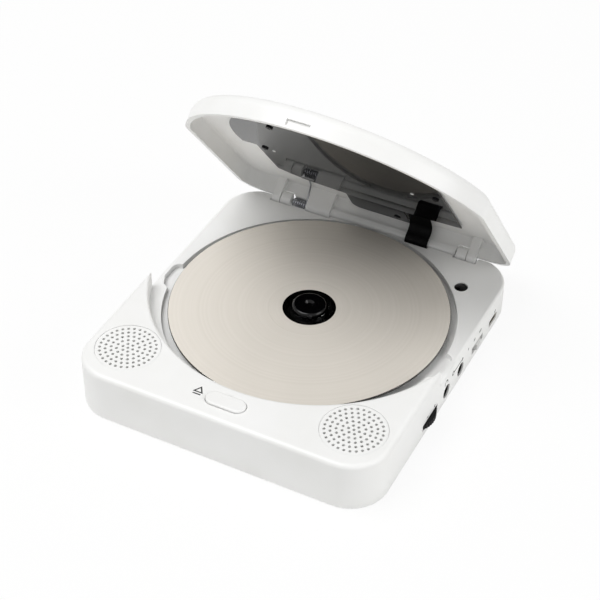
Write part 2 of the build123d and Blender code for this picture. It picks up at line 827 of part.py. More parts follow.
def make_lid_panel():
    # behind the board the panel goes on as a tab that slopes down towards the barrel
    tab_top = panel_z0 + panel_t
    plate = Pos(0, 0, panel_z0) * extrude(panel_plan(), panel_t)
    over_y = tab_y0 + 2 * (tab_y - tab_y0)
    side_view = Polyline((tab_y0, panel_z0), (over_y, panel_z0 - 2 * tab_drop), (over_y, tab_top - 2 * tab_drop),
                         (tab_y0, tab_top), close=True)
    slope = Pos(-body_w, 0, 0) * extrude(Plane.YZ * make_face(side_view), 2 * body_w)
    outline = Polyline((tab_x0, tab_y0 - tab_drop), (tab_x0, tab_y), (tab_x1, tab_y), (tab_x1, tab_y0 - tab_drop),
                       close=True)
    face = make_face(outline)
    face = fillet([v for v in face.vertices() if v.X < tab_x0 + 0.1 and v.Y > tab_y - 0.1], tab_corner_r)
    tab = slope & (Pos(0, 0, panel_z0 - 2 * tab_drop) * extrude(face, 2 * tab_drop + 2 * panel_t))
    tab -= disc_z_axis(panel_screw_head_r + tab_spot, tab_screw_x, hinge_y - tab_screw,
                       panel_z0 - 2 * tab_drop, tab_seat_z)
    return plate + tab - panel_holes()


def panel_holes():
    holes = [disc_z_axis(panel_peg_r + pin_clear, x, y, panel_z0 - 1, lid_ceiling) for x, y in panel_peg_spots]
    return holes + [disc_z_axis(panel_screw_r, x, y, panel_z0 - 1, lid_ceiling) for x, y in panel_screw_spots]


def make_lid_board():
    z0 = panel_z0 + panel_t
    back = hinge_y - lid_board_back
    board = block(-lid_board_half_w, lid_board_half_w, disc_cy - lid_board_front, back, z0, lid_ceiling)
    board += block(ribbon_x0 - 2, ribbon_x0 + ribbon_w + 2, back, hinge_y - lid_board_tail, z0, lid_ceiling)
    return board - panel_holes()


def make_panel_screws():
    group = []
    for x, y in panel_screw_spots:
        seat = panel_z0 if y < tab_y0 else tab_seat_z
        base = seat - panel_screw_head_t
        screw = disc_z_axis(panel_screw_head_r, x, y, base, seat)
        for half_x, half_y in ((screw_slot_l / 2, screw_slot_w / 2), (screw_slot_w / 2, screw_slot_l / 2)):
            screw -= block(x - half_x, x + half_x, y - half_y, y + half_y, base, base + screw_slot_t)
        group.append(screw + disc_z_axis(panel_screw_r, x, y, seat, lid_ceiling))
    return Compound(children=group)


def make_hinge_pins():
    return Compound(children=[rod_along_x(pin_r, x0, x1, hinge_y, hinge_z) for x0, x1 in pin_spans])


def make_lid_spring():
    length = lid_spring_pitch * lid_spring_turns
    x1 = block_x0 - lid_spring_wire_r - 0.2
    x0 = x1 - length
    r = lid_spring_r
    coil = spring_coil(r, lid_spring_wire_r, lid_spring_pitch, lid_spring_turns, lefthand=True)
    spring = Pos(x0, hinge_y, hinge_z) * Rot(0, 90, 0) * coil
    # one leg climbs in front of the spring block to the lid's ceiling, the other presses on the trough floor
    rest_z = lid_ceiling - lid_spring_wire_r - spring_seat
    climb = [(0, r, -0.2), (0, r + 0.2, 2.2), (0, r + 1.9, 5.1), (0.15, r + 3.7, 6.7), (0.45, r + 6.8, 7.8)]
    leg = [(x1 + lid_spring_lean * lean, hinge_y - ahead, hinge_z + up) for lean, ahead, up in climb]
    leg += [(x1 + 0.7 * lid_spring_lean, hinge_y - 0.7 * lid_spring_leg, rest_z),
            (x1 + lid_spring_lean, hinge_y - lid_spring_leg, rest_z)]
    spring += wire_along(leg, lid_spring_wire_r)
    spring += wire_along([(x0, hinge_y - 0.2, hinge_z - r), (x0, hinge_y + 2.4, hinge_z - r)], lid_spring_wire_r)
    return spring


def make_ribbon():
    foot_z = board_top + ribbon_socket_h
    rise_z = deck_z + ribbon_rise
    bend = [(ribbon_y, rise_z)] + [(hinge_y + y, hinge_z + z) for y, z in ribbon_bend]
    bend.append(opened_point(hinge_y - ribbon_tail, lid_ceiling - ribbon_tail_drop))
    bend.append(opened_point(hinge_y - lid_board_tail, (panel_z0 + panel_t + lid_ceiling) / 2))
    down = Line((0, ribbon_y, foot_z), (0, ribbon_y, rise_z))
    last = (0, -cos(radians(lid_angle)), sin(radians(lid_angle)))
    curve = Spline(*[(0, y, z) for y, z in bend], tangents=[(0, 0, 1), last])
    section = Plane(down @ 0, z_dir=(0, 0, 1), x_dir=(1, 0, 0)) * Rectangle(ribbon_w, ribbon_t)
    return Pos(ribbon_x0 + ribbon_w / 2, 0, 0) * sweep(section, Wire([down, curve]))


def make_ribbon_socket():
    return block(ribbon_x0 - 1.4, ribbon_x0 + ribbon_w + 1.4, ribbon_y - 1.2, ribbon_y + 0.8, board_top,
                 board_top + ribbon_socket_h)


# ---- button and latch ----
def make_open_button():
    top = front_z + button_h
    cap = Pos(0, button_y, button_base_z) * extrude(SlotOverall(button_l, button_w), top - button_base_z)
    cap = fillet(edges_at(cap, top), button_edge_r)
    flange = SlotOverall(button_l + 2 * button_flange, button_w + 2 * button_flange)
    cap += Pos(0, button_y, button_base_z) * extrude(flange, button_flange_t)
    # each leg's tip is cut at 45 degrees, so the falling leg drives the slider forward
    for side in (-1, 1):
        x = side * cam_x
        leg = block(x - cam_w / 2, x + cam_w / 2, cam_y0, cam_y1, cam_tip_z, button_base_z)
        cap += leg - diamond_along_x(body_w / 2, cam_y0, cam_tip_z, cam_bevel)
    return cap + disc_z_axis(button_pip_r, 0, button_y, button_base_z - button_pip_l, button_base_z)


def make_latch_slider():
    slider = block(-latch_half_w, latch_half_w, latch_y0, latch_y1, latch_z0, latch_z1)
    tip_y = lid_front_y + hook_reach
    hook = block(-hook_half_w, hook_half_w, latch_y1 - 1, tip_y, hook_z0, hook_z1)
    slider += hook - diamond_along_x(hook_half_w + 1, tip_y, hook_z1, hook_bevel)
    slider -= block(-spring_well, spring_well, button_y - spring_well, button_y + spring_well + button_travel,
                    latch_z0, latch_z1)
    # windows for the legs, each with the matching ramp on its front wall
    ramp_y = cam_y0 + cam_bevel - 0.1
    for side in (-1, 1):
        x0 = side * cam_x - cam_w / 2 - cam_clear
        x1 = side * cam_x + cam_w / 2 + cam_clear
        slider -= block(x0, x1, ramp_y, cam_y1 + button_travel + cam_clear, latch_z0, latch_z1)
        ramp = diamond_along_x(body_w / 2, ramp_y, latch_z1, cam_bevel + 0.1)
        slider -= ramp & block(x0, x1, latch_y0, latch_y1, latch_z0, front_z)
    return slider


def make_latch_guide():
    half = latch_half_w + slide_clear
    floor_top = latch_z0 - slide_clear
    guide = block(-half - guide_t, half + guide_t, latch_y0 - guide_ahead, latch_y1 + guide_behind,
                  floor_top - guide_t, front_under)
    guide -= block(-half, half, front_y, arc_front_y, floor_top, front_under)
    for x in (-stake_x, stake_x):
        guide += block(x - guide_ear, x + guide_ear, button_y - guide_ear_l / 2, button_y + guide_ear_l / 2,
                       front_under - guide_t, front_under)
        guide -= disc_z_axis(stake_r, x, button_y, floor_top, front_under)
    return guide


def make_button_spring():
    z0 = latch_z0 - slide_clear + button_spring_wire_r
    height = button_base_z - button_spring_wire_r - z0
    return Pos(0, button_y, z0) * spring_coil(button_spring_r, button_spring_wire_r, height / 4, 4)


def make_latch_springs():
    y0 = wall - body_d / 2 + latch_spring_wire_r
    length = latch_y0 - latch_spring_wire_r - y0
    coil = spring_coil(latch_spring_r, latch_spring_wire_r, length / 4, 4)
    z = (latch_z0 + latch_z1) / 2
    return Compound(children=[Pos(side * latch_spring_x, y0, z) * Rot(-90, 0, 0) * coil for side in (-1, 1)])


# ---- speakers ----
def make_grille(side):
    plate = disc_z_axis(speaker_r + grille_rim - grille_fit, side * speaker_x, speaker_y, grille_z, grille_z + grille_t)
    return plate - Pos(0, 0, grille_z) * extrude(grille_plan(side), grille_t)


def make_basket(side):
    x, y = side * speaker_x, speaker_y
    step_z = front_under - speaker_rim_t
    basket = disc_z_axis(speaker_r, x, y, step_z, front_under)
    basket += disc_z_axis(speaker_r - speaker_step, x, y, front_under - speaker_cup_h, step_z)
    basket -= disc_z_axis(speaker_r - speaker_ring, x, y, step_z + 0.2, front_under)
    return basket - disc_z_axis(speaker_r - speaker_step - 0.9, x, y, front_under - speaker_cup_h + 0.8, front_under)


def make_cone(side):
    outer = speaker_r - cone_inset
    profile = Polyline((0, -cone_depth), (dust_cap_r, -cone_depth), (outer - 1.5, 0), (outer, 0), (outer, cone_t),
                       (outer - 1.7, cone_t), (dust_cap_r - 0.2, cone_t - cone_depth), (0, cone_t - cone_depth),
                       close=True)
    cone = revolve(make_face(Plane.XZ * profile), Axis.Z, 360)
    return Pos(side * speaker_x, speaker_y, front_under - speaker_rim_t + 0.2) * cone


def make_magnet(side):
    return disc_z_axis(speaker_r - magnet_inset, side * speaker_x, speaker_y, front_under - speaker_h,
                       front_under - speaker_cup_h)


# ---- board, sockets and controls ----
def make_board():
    right = side_x - board_edge
    front = body_d / 2 - board_edge
    board = block(-right, right, -front, front_y + board_front_w, board_z0, board_top)
    board += block(side_x - board_side_w, right, -front, front, board_z0, board_top)
    board += block(ribbon_x0 - board_back_margin, right, back_y - board_back_w, front, board_z0, board_top)
    outline = slab(2 * right, 2 * front, body_corner_r - board_edge, 0, deck_z)
    board = board & outline
    for x, y in front_bosses + back_bosses:
        board -= disc_z_axis(boss_r + board_wall_gap, x, y, 0, deck_z)
    return board - block(wheel_x - pot_w / 2, wheel_x + pot_w / 2, wheel_y - pot_w / 2, wheel_y + pot_w / 2, 0, deck_z)


def make_board_chips():
    spots = [(reach - front_boss_x, front_y + front_chip_y, w, d) for reach, w, d in front_chips]
    spots += [(side_x - reach, y, w, d) for reach, y, w, d in side_chips]
    return Compound(children=[block(x - w / 2, x + w / 2, y - d / 2, y + d / 2, board_top, board_top + chip_t)
                              for x, y, w, d in spots])


def make_jack(y):
    face_x = side_x - jack_face_inset
    jack = block(face_x - jack_len - jack_tail, side_in - 0.2, y - jack_w / 2, y + jack_w / 2,
                 board_top, board_top + jack_h)
    jack += rod_along_x(jack_face_r, side_in - 1.0, face_x, y, jack_z)
    jack -= rod_along_x(jack_bore_r, face_x - jack_len, face_x, y, jack_z)
    return jack - rod_along_x(jack_mouth_r, side_in - jack_mouth_end, face_x, y, jack_z)


def make_wheel():
    grips = [Pos(wheel_r * cos(a), wheel_r * sin(a)) * Circle(wheel_grip_r)
             for a in (2 * pi * k / wheel_grips for k in range(wheel_grips))]
    z0 = control_z - wheel_t / 2
    wheel = Pos(wheel_x, wheel_y, z0) * extrude(Circle(wheel_r) - grips, wheel_t)
    wheel += disc_z_axis(pot_shaft_r, wheel_x, wheel_y, board_z0, z0)
    return wheel + disc_z_axis(pot_shaft_r + 1.2, wheel_x, wheel_y, z0 + wheel_t, z0 + wheel_t + wheel_cap_h)


def make_pot():
    z0 = board_z0 - 0.6
    top = control_z - wheel_t / 2 - 0.2
    pot = block(wheel_x - pot_w / 2, wheel_x + pot_w / 2, wheel_y - pot_w / 2, wheel_y + pot_w / 2, z0, top)
    return pot - disc_z_axis(pot_shaft_r + 0.05, wheel_x, wheel_y, board_z0 - 0.1, top)


def make_switch_body():
    x1 = side_in - 0.2
    half_w = switch_body_w / 2
    body = block(x1 - switch_body_t, x1, switch_y - half_w, switch_y + half_w, board_top, board_top + switch_body_h)
    half = switch_stem / 2 + switch_travel + 0.3
    half_h = switch_stem_h / 2 + 0.1
    return body - block(x1 - 2.5, x1, switch_y - half, switch_y + half, control_z - half_h, control_z + half_h)


def make_switch_knob():
    x1 = side_in - 0.2
    out = side_x + switch_knob_proud
    half_h = switch_knob_h / 2
    knob = block(x1 + 0.2, out, switch_y - switch_knob_l / 2, switch_y + switch_knob_l / 2,
                 control_z - half_h, control_z + half_h)
    knob += block(x1 - 2.3, x1 + 0.2, switch_y - switch_stem / 2, switch_y + switch_stem / 2,
                  control_z - switch_stem_h / 2, control_z + switch_stem_h / 2)
    for k in (-1, 0, 1):
        y = switch_y + switch_rib_pitch * k
        knob -= block(out - switch_rib_t, out, y - switch_rib_w / 2, y + switch_rib_w / 2, 0, deck_z)
    return knob


def make_usb():
    x1 = side_x - usb_inset
    x0 = x1 - usb_len
    usb = plug_shape(usb_w, usb_h, x0, x1)
    usb -= plug_shape(usb_w - 2 * usb_shell, usb_h - 2 * usb_shell, x0 + 0.5, x1)
    usb += block(x0, x1 - 1.0, usb_y - usb_tongue_w / 2, usb_y + usb_tongue_w / 2,
                 control_z - usb_tongue_t / 2, control_z + usb_tongue_t / 2)
    half_w = usb_w / 2 - usb_foot
    return usb + block(x0, side_in - 0.6, usb_y - half_w, usb_y + half_w, board_top,
                       control_z - usb_h / 2 + usb_shell / 2)


def make_key(y):
    x_in = side_in - 0.2
    key = block(-side_x - key_proud, key_flange_t - x_in, y - key_l / 2, y + key_l / 2,
                jack_z - key_h / 2, jack_z + key_h / 2)
    key = fillet(key.faces().sort_by(Axis.X)[0].edges(), key_edge_r)
    half_l, half_h = key_l / 2 + key_flange, key_h / 2 + key_flange
    return key + block(-x_in, key_flange_t - x_in, y - half_l, y + half_l, jack_z - half_h, jack_z + half_h)


def make_key_board():
    x0 = key_flange_t + 0.2 - side_in + key_travel + 0.1 + key_switch_h
    strip = block(x0, x0 + key_board_t, min(key_ys) - key_board_over, max(key_ys) + key_board_over,
                  bottom_t, jack_z + key_board_up)
    half = key_switch / 2
    for y in key_ys:
        strip += block(x0 - key_switch_h, x0, y - half, y + half, jack_z - half, jack_z + half)
    return strip


def make_lid_sensor():
    half = sensor_w / 2
    sensor = block(sensor_x - half, sensor_x + half, sensor_y - half, sensor_y + half, board_top, deck_under - 0.4)
    eyes = [disc_z_axis(sensor_eye_r, sensor_x + side * sensor_w / 4, sensor_y, deck_under - 0.9, deck_under)
            for side in (-1, 1)]
    return sensor - eyes


# ---- disc drive ----
def make_chassis():
    plate = block(-chassis_half_w, chassis_half_w, chassis_y0, chassis_y1, chassis_z, chassis_top)
    plate = fillet(plate.edges().filter_by(Axis.Z), chassis_corner_r)
    half = lens_house_w / 2 + 1.2
    plate -= block(-half, half, lens_slot_end_y, disc_cy - motor_r - 1.0, chassis_z, chassis_top)
    plate -= disc_z_axis(table_stub_r + 1.0, 0, disc_cy, chassis_z, chassis_top)
    for x in (-damper_x, damper_x):
        for y in damper_ys:
            plate -= disc_z_axis(damper_neck_r, x, y, chassis_z, chassis_top)
    # hanging posts that hold the guide rods and the free end of the screw
    for x in (-rod_x, rod_x):
        for y0, y1 in rod_posts:
            plate += block(x - rod_post_half, x + rod_post_half, y0, y1, rod_z - rod_post_half, chassis_z)
        plate -= rod_along_y(rod_r, rod_y0, rod_y1, x, rod_z)
    y0, y1 = rod_posts[0]
    plate += block(screw_x - rod_post_half, screw_x + rod_post_half, y0, y1, rod_z - rod_post_half, chassis_z)
    return plate - rod_along_y(screw_r + 0.05, y0, y1, screw_x, rod_z)


def make_dampers():
    group = []
    z0, z1 = damper_seat_z, damper_seat_z + damper_h
    for x in (-damper_x, damper_x):
        for y in damper_ys:
            ring = disc_z_axis(damper_r, x, y, z0, chassis_z)
            ring += disc_z_axis(damper_neck_r, x, y, chassis_z, chassis_top)
            ring += disc_z_axis(damper_r, x, y, chassis_top, z1)
            group.append(ring - disc_z_axis(damper_post_r, x, y, z0, z1))
    return Compound(children=group)


def make_motor():
    motor = disc_z_axis(motor_r, 0, disc_cy, chassis_z - motor_h, chassis_z)
    return motor - disc_z_axis(shaft_r + 0.05, 0, disc_cy, chassis_z - motor_h + 0.6, chassis_z)


def make_shaft():
    return disc_z_axis(shaft_r, 0, disc_cy, chassis_z - motor_h + 0.8, hub_top_z - table_bore_end)


def make_turntable():
    table = disc_z_axis(table_r, 0, disc_cy, disc_z - table_t, disc_z)
    table += disc_z_axis(table_stub_r, 0, disc_cy, chassis_top + 0.4, disc_z - table_t)
    hub = disc_z_axis(hub_r, 0, disc_cy, disc_z, hub_top_z)
    hub = fillet(edges_at(hub, hub_top_z), hub_edge_r)
    hub -= Pos(0, disc_cy, hub_top_z - 0.5) * Cone(hub_dimple_r - 0.8, hub_dimple_r, 1.0)
    table += hub
    table -= disc_z_axis(shaft_r, 0, disc_cy, 0, hub_top_z - table_bore_end)
    for x, y in ball_spots:
        table -= Pos(x, y, ball_z) * Sphere(ball_r + 0.03)
    return table


def make_balls():
    return Compound(children=[Pos(x, y, ball_z) * Sphere(ball_r) for x, y in ball_spots])


def make_disc():
    disc = disc_z_axis(disc_r, 0, disc_cy, disc_z, disc_z + disc_t)
    disc -= disc_z_axis(disc_hole_r, 0, disc_cy, disc_z, disc_z + disc_t)
    return chamfer(edges_at(disc, disc_z + disc_t), 0.15)


def make_sled():
    y0, y1 = sled_y - sled_half_l, sled_y + sled_half_l
    sled = block(sled_left, sled_right, y0, y1, sled_z0, sled_z1)
    half_w, half_l = lens_house_w / 2, lens_house_l / 2
    sled += block(-half_w, half_w, sled_y - half_l, sled_y + half_l, sled_z1, lens_top_z - 1.0)
    for x in (-rod_x, rod_x):
        sled -= rod_along_y(rod_r + slide_fit, y0, y1, x, rod_z)
    sled -= rod_along_y(screw_r + slide_fit, y0, y1, screw_x, rod_z)
    return sled - disc_z_axis(lens_r, 0, sled_y, lens_top_z - 2.0, lens_top_z)


def make_lens():
    lens = disc_z_axis(lens_r, 0, sled_y, lens_top_z - 2.0, lens_top_z - 0.6)
    radius = (lens_r ** 2 + lens_dome ** 2) / (2 * lens_dome)
    dome = Pos(0, sled_y, lens_top_z - 0.6 + lens_dome - radius) * Sphere(radius)
    return lens + (dome & disc_z_axis(lens_r, 0, sled_y, lens_top_z - 0.6, lens_top_z + 1))


def make_rods():
    return Compound(children=[rod_along_y(rod_r, rod_y0, rod_y1, x, rod_z) for x in (-rod_x, rod_x)])


def make_lead_screw():
    return rod_along_y(screw_r, rod_y0, rod_y1 + 2.0, screw_x, rod_z)


def make_feed_motor():
    motor = rod_along_y(feed_motor_r, rod_y1, rod_y1 + feed_motor_l, screw_x, rod_z)
    motor += block(screw_x - rod_post_half, screw_x + rod_post_half, rod_y1, rod_y1 + feed_motor_l, rod_z, chassis_z)
    return motor - rod_along_y(screw_r + 0.05, rod_y1, rod_y1 + 2.1, screw_x, rod_z)


def save(shape, name):
    export_step(shape, f"parts/{name}.step")
    print(name, round(shape.volume, 1))


base_parts = {
    "top_case": make_top_case,
    "bottom_case": make_bottom_case,
    "case_screws": make_case_screws,
    "ribbon_cable": make_ribbon,
    "ribbon_socket": make_ribbon_socket,
    "open_button": make_open_button,
    "button_spring": make_button_spring,
    "latch_slider": make_latch_slider,
    "latch_guide": make_latch_guide,
    "latch_springs": make_latch_springs,
    "main_board": make_board,
    "board_chips": make_board_chips,
    "volume_wheel": make_wheel,
    "volume_pot": make_pot,
    "mode_switch_body": make_switch_body,
    "mode_switch_knob": make_switch_knob,
    "usb_socket": make_usb,
    "key_board": make_key_board,
    "lid_sensor": make_lid_sensor,
    "drive_chassis": make_chassis,
    "chassis_dampers": make_dampers,
    "spindle_motor": make_motor,
    "spindle_shaft": make_shaft,
    "turntable": make_turntable,
    "hub_balls": make_balls,
    "disc": make_disc,
    "pickup_sled": make_sled,
    "pickup_lens": make_lens,
    "guide_rods": make_rods,
    "lead_screw": make_lead_screw,
    "feed_motor": make_feed_motor,
}
lid_parts = {
    "lid_shell": make_lid_shell,
    "lid_panel": make_lid_panel,
    "lid_board": make_lid_board,
    "panel_screws": make_panel_screws,
    "hinge_pins": make_hinge_pins,
    "lid_spring": make_lid_spring,
}
for name, make in base_parts.items():
    save(make(), name)
for name, make in lid_parts.items():
    save(opened(make()), name)
for side, label in ((-1, "left"), (1, "right")):
    save(make_grille(side), f"{label}_grille")
    save(make_basket(side), f"{label}_speaker_basket")
    save(make_cone(side), f"{label}_speaker_cone")
    save(make_magnet(side), f"{label}_speaker_magnet")
for y, label in zip(jack_ys, ("headphone_jack", "line_out_jack")):
    save(make_jack(y), label)
for y, label in zip(key_ys, ("back_key", "play_key", "stop_key", "next_key")):
    save(make_key(y), label)
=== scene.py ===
import math

import bmesh
import bpy
import numpy as np
from mathutils import Matrix, Vector


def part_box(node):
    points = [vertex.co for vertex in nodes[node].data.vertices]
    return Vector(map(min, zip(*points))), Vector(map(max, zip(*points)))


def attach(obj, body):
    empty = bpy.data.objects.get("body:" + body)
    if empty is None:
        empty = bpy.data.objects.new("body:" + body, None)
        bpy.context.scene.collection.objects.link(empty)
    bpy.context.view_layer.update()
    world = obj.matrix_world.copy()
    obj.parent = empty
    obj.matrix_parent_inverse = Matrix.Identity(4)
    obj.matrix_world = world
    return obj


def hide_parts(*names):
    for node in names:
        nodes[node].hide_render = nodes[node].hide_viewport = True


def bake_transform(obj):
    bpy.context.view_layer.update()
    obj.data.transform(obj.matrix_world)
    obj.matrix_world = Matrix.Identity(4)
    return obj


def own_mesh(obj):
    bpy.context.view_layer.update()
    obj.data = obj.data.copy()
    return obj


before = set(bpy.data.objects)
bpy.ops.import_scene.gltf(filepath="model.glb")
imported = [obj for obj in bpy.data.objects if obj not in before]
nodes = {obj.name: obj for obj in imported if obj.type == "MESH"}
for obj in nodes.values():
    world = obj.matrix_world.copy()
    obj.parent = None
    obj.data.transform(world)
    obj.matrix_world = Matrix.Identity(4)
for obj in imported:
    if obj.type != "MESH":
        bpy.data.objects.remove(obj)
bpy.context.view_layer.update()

mm = 0.001
noiseGrain = 0.55  # how strong each finer octave of a noise pattern is
caseBox, capBox, discBox = (np.array(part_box(name)) / mm for name in ("top_case", "open_button", "disc"))
print("frame loaded with", len(nodes), "nodes")


def hexColour(text):
    # sRGB hex to linear: ((c + 0.055) / 1.055) ** 2.4 above the toe, c / 12.92 below it
    raw = [int(text[i:i + 2], 16) / 255 for i in (1, 3, 5)]
    return [((c + 0.055) / 1.055) ** 2.4 if c > 0.04045 else c / 12.92 for c in raw] + [1.0]


def addNode(tree, kind, settings=None, values=None, links=None):
    # one node with its settings, its input values and the sockets that feed its inputs
    node = tree.nodes.new(kind)
    for name, value in (settings or {}).items():
        setattr(node, name, value)
    for name, value in (values or {}).items():
        node.inputs[name].default_value = value
    for name, source in (links or {}).items():
        tree.links.new(source, node.inputs[name])
    return node


def newMaterial(name, shader, layers=()):
    # constants sit on the shader's own sockets. Each layer is one pattern: noise with features the given size
    # in mm, or what its own source draws. It moves the colour between two hex values, the roughness between
    # two numbers or the surface by a depth in mm; a corner rounds drawn edges by that radius in mm.
    material = bpy.data.materials.new(name)
    material.use_nodes = True
    tree = material.node_tree
    tree.nodes.clear()
    place = addNode(tree, "ShaderNodeTexCoord").outputs["Object"]
    surface = addNode(tree, "ShaderNodeBsdfPrincipled", values=shader)
    addNode(tree, "ShaderNodeOutputMaterial", links={"Surface": surface.outputs[0]})
    for layer in layers:
        if "source" in layer:
            pattern = layer["source"](tree, place)
        else:
            spot = addNode(tree, "ShaderNodeMapping", values={"Scale": layer.get("stretch", (1, 1, 1))},
                           links={"Vector": place}).outputs[0]
            pattern = addNode(tree, "ShaderNodeTexNoise", links={"Vector": spot},
                              values={"Scale": 1 / (layer["size"] * mm), "Detail": layer.get("detail", 2.0),
                                      "Roughness": noiseGrain}).outputs["Fac"]
        span = dict(zip(("From Min", "From Max"), layer.get("span", (0.3, 0.7))))
        if "colours" in layer:
            share = addNode(tree, "ShaderNodeMapRange", values=span, links={"Value": pattern}).outputs[0]
            dark, light = (hexColour(text) for text in layer["colours"])
            mix = addNode(tree, "ShaderNodeMix", {"data_type": "RGBA"}, {6: dark, 7: light}, {0: share})
            tree.links.new(mix.outputs[2], surface.inputs["Base Color"])
        if "rough" in layer:
            reach = {**span, "To Min": layer["rough"][0], "To Max": layer["rough"][1]}
            share = addNode(tree, "ShaderNodeMapRange", values=reach, links={"Value": pattern}).outputs[0]
            tree.links.new(share, surface.inputs["Roughness"])
        if "depth" in layer:
            bump = addNode(tree, "ShaderNodeBump", values={"Distance": layer["depth"] * mm},
                           links={"Height": pattern})
            if "corner" in layer:
                edge = addNode(tree, "ShaderNodeBevel", {"samples": 4}, {"Radius": layer["corner"] * mm})
                tree.links.new(edge.outputs[0], bump.inputs["Normal"])
            tree.links.new(bump.outputs[0], surface.inputs["Normal"])
    return material


def spangle(tree, place):
    # zinc crystals 2 mm across, each of one shade
    cells = addNode(tree, "ShaderNodeTexVoronoi", values={"Scale": 1 / (2 * mm)}, links={"Vector": place})
    return addNode(tree, "ShaderNodeSeparateColor", links={"Color": cells.outputs["Color"]}).outputs[0]


def copperTracks(tree, place):
    # lines 0.6 mm apart that bend round square cells 3 mm across
    cells = addNode(tree, "ShaderNodeTexVoronoi", {"distance": "MANHATTAN"}, {"Scale": 1 / (3 * mm)},
                    {"Vector": place})
    return addNode(tree, "ShaderNodeMath", {"operation": "PINGPONG"}, {1: 0.1},
                   {0: cells.outputs["Distance"]}).outputs[0]


def conductors(tree, place):
    # flat copper strips side by side, 1 mm apart across the cable
    return addNode(tree, "ShaderNodeTexWave", {"bands_direction": "X"}, {"Scale": math.pi / (20 * mm)},
                   {"Vector": place}).outputs["Fac"]


def printedRings(tree, place):
    # noise over the distance from the disc's axis alone, 1.6 mm across
    centre = {1: (0.0, disc["y"] * mm, 0.0)}
    turned = addNode(tree, "ShaderNodeVectorMath", {"operation": "SUBTRACT"}, centre, {0: place})
    flat = addNode(tree, "ShaderNodeVectorMath", {"operation": "MULTIPLY"}, {1: (1.0, 1.0, 0.0)},
                   {0: turned.outputs[0]})
    radius = addNode(tree, "ShaderNodeVectorMath", {"operation": "LENGTH"}, {}, {0: flat.outputs[0]})
    line = addNode(tree, "ShaderNodeCombineXYZ", links={"X": radius.outputs["Value"]})
    return addNode(tree, "ShaderNodeTexNoise", links={"Vector": line.outputs[0]},
                   values={"Scale": 1 / (1.6 * mm), "Detail": 3.0, "Roughness": noiseGrain}).outputs["Fac"]


# white ABS, injection moulded in a spark-eroded tool: soft satin, its grain drawn at 0.5 mm because the real
# 0.1 mm is too fine to show; the rounded corners catch light along every edge
absWhite = newMaterial("mouldedAbsWhite", {"IOR": 1.53}, [
    {"size": 24, "colours": ("#F1F1EF", "#F5F5F4")},
    {"size": 0.5, "detail": 3.0, "rough": (0.36, 0.48), "depth": 0.006, "corner": 0.25}])
# black cast acrylic, flame polished: near black by itself, a mirror when seen along the sheet
acrylic = newMaterial("polishedAcrylicBlack", {
    "IOR": 1.49, "Base Color": hexColour("#040405"), "Specular IOR Level": 0.27}, [
    {"size": 9, "rough": (0.02, 0.06)}, {"size": 14, "detail": 1.0, "depth": 0.004}])
# black acetal, injection moulded: slightly waxy, low gloss with fine flow variation
pomBlack = newMaterial("mouldedPomBlack", {"IOR": 1.48, "Specular IOR Level": 0.2}, [
    {"size": 3, "detail": 3.0, "colours": ("#030304", "#070708"), "rough": (0.4, 0.5)},
    {"size": 0.4, "depth": 0.003}])
# the same acetal turned and polished, for the disc's hub and the sensor's window: one thin line of light along
# each edge
pomPolished = newMaterial("polishedPomBlack", {
    "IOR": 1.48, "Base Color": hexColour("#020203"), "Specular IOR Level": 0.25}, [
    {"size": 2, "rough": (0.1, 0.16)}])
# glass-filled black nylon: dry and dull, with short fibre streaks
nylonBlack = newMaterial("mouldedNylonBlack", {"IOR": 1.53}, [
    {"size": 0.6, "detail": 3.0, "stretch": (1.0, 0.25, 1.0), "colours": ("#111112", "#1E1E1F"),
     "rough": (0.5, 0.65), "depth": 0.01}])
# pressed sheet steel, zinc plated: grey metal with a faint spangle
zinc = newMaterial("zincPlatedSteel", {"Metallic": 1.0}, [
    {"source": spangle, "span": (0, 1), "colours": ("#A8ABAE", "#C2C4C6"), "rough": (0.28, 0.42)}])
# small screws in black oxide: dark, slightly oily metal
oxide = newMaterial("blackOxideSteel", {"Metallic": 0.8}, [
    {"size": 0.5, "detail": 3.0, "colours": ("#101012", "#1D1D20"), "rough": (0.3, 0.45)}])
# music wire, drawn: bright metal, a touch uneven in shade and gloss
springWire = newMaterial("drawnSpringSteel", {"Metallic": 1.0}, [
    {"size": 0.3, "detail": 3.0, "colours": ("#84858A", "#A6A7AB"), "rough": (0.22, 0.36)}])
# stainless rod, ground: bright, with rings round the axis drawn 0.25 mm apart
rodSteel = newMaterial("groundStainlessSteel", {"Metallic": 1.0}, [
    {"size": 0.25, "stretch": (0.2, 1.0, 0.2), "colours": ("#B9BABC", "#D2D3D4"), "rough": (0.14, 0.26)}])
# small steel balls under a film of black grease: dark with a soft gleam
ballSteel = newMaterial("greasedBearingSteel", {"Metallic": 0.6}, [
    {"size": 0.4, "colours": ("#0C0C0D", "#18181A"), "rough": (0.35, 0.5)}])
# nickel plate on a stamped shell: warm bright metal
nickel = newMaterial("nickelPlatedShell", {"Metallic": 1.0}, [
    {"size": 2, "detail": 3.0, "colours": ("#C3BEB4", "#D8D4CC"), "rough": (0.16, 0.28)}])
# glass-epoxy board under green solder mask: glossy, the copper tracks lighter and a little proud
boardGreen = newMaterial("solderMaskGreen", {"IOR": 1.55}, [
    {"source": copperTracks, "span": (0.045, 0.06), "colours": ("#0E4A2A", "#2B7447"), "depth": 0.03},
    {"size": 1, "rough": (0.22, 0.36)}])
# chip packages, transfer moulded epoxy: matt charcoal with a peppery grain
epoxy = newMaterial("mouldedEpoxyBlack", {"IOR": 1.55}, [
    {"size": 0.2, "detail": 3.0, "colours": ("#17181A", "#26272A"), "rough": (0.55, 0.75), "depth": 0.01}])
